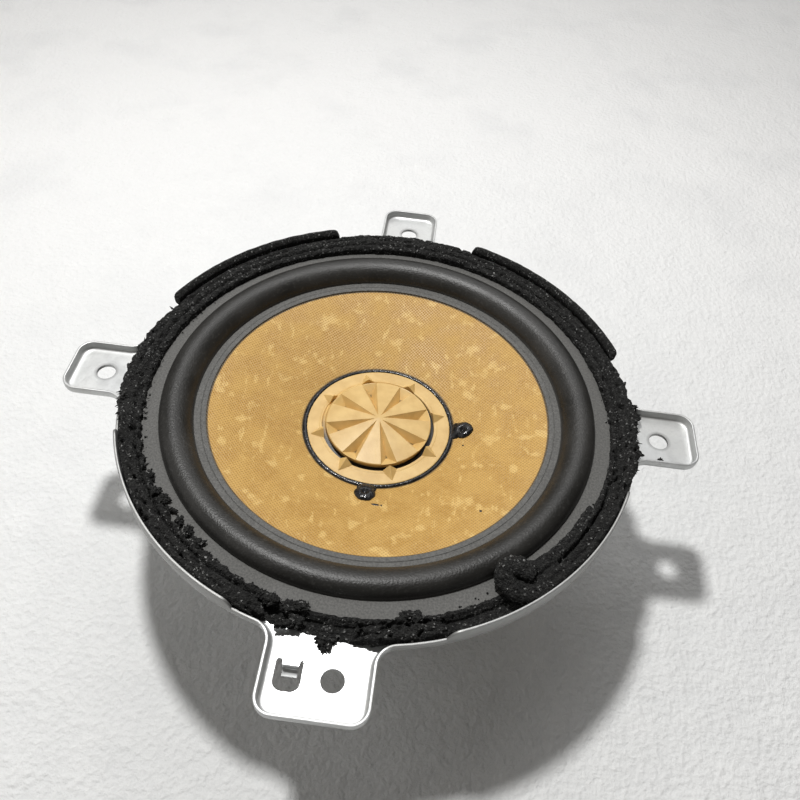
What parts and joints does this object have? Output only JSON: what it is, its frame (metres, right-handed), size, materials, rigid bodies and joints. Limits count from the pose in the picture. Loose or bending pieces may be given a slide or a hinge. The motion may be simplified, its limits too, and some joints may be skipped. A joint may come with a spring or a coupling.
{
  "type": "car door speaker",
  "caption": "Round car door speaker with a pressed steel basket, mounting tabs, torn foam gasket, woven cone, moulded dust cap and ring-magnet motor.",
  "frame": {"origin": "centre of the motor's back plate, on its back face", "axes": "+Z is the way the cone faces; +X runs through the hole of one narrow tab; -Y through the round hole of the wide tab"},
  "size_m": [0.205, 0.205, 0.0693],
  "materials": {
    "zinc_steel": "zinc plated, satin",
    "dark_steel": "blackened steel",
    "ferrite": "matte sintered ferrite",
    "surround_rubber": "soft matte",
    "foam": "open-cell foam, torn and dusty",
    "gold_cloth": "woven, coated",
    "gold_moulding": "fine grained",
    "black_glue": "glossy",
    "brass": "plain",
    "copper": "enamelled wire",
    "aluminium": "rolled foil",
    "treated_cloth": "resin treated",
    "phenolic": "laminate"
  },
  "bodies": {
    "frame": {"basket": "zinc_steel", "back_plate": "dark_steel", "ring_magnet": "ferrite", "vent_screen": "dark_steel", "basket_rivet_1": "zinc_steel", "basket_rivet_2": "zinc_steel", "basket_rivet_3": "zinc_steel", "basket_rivet_4": "zinc_steel", "top_plate": "dark_steel", "foam_gasket": "foam", "foam_remnant": "foam", "foam_torn_strip": "foam", "terminal_board": "phenolic", "terminal_blade_wide": "brass", "terminal_blade_narrow": "brass", "terminal_rivet_wide": "brass", "terminal_rivet_narrow": "brass", "spider": "treated_cloth", "surround": "surround_rubber", "tinsel_lead_1": "copper", "tinsel_lead_2": "copper"},
    "cone_assembly": {"cone": "gold_cloth", "dust_cap": "gold_moulding", "cap_glue_ring": "black_glue", "lead_glue_1": "black_glue", "lead_glue_2": "black_glue", "lead_eyelet_1": "brass", "lead_eyelet_2": "brass", "neck_glue": "black_glue", "coil_former": "aluminium", "voice_coil": "copper", "spider_glue": "black_glue"}
  },
  "joints": [
    {"name": "cone_travel", "type": "slide", "parent": "frame", "child": "cone_assembly", "axis": [0, 0, 1], "range_m": [-0.004, 0.004], "stiffness_N_per_m": 1200, "deforming": ["surround", "spider", "tinsel_lead_1", "tinsel_lead_2"]}
  ]
}
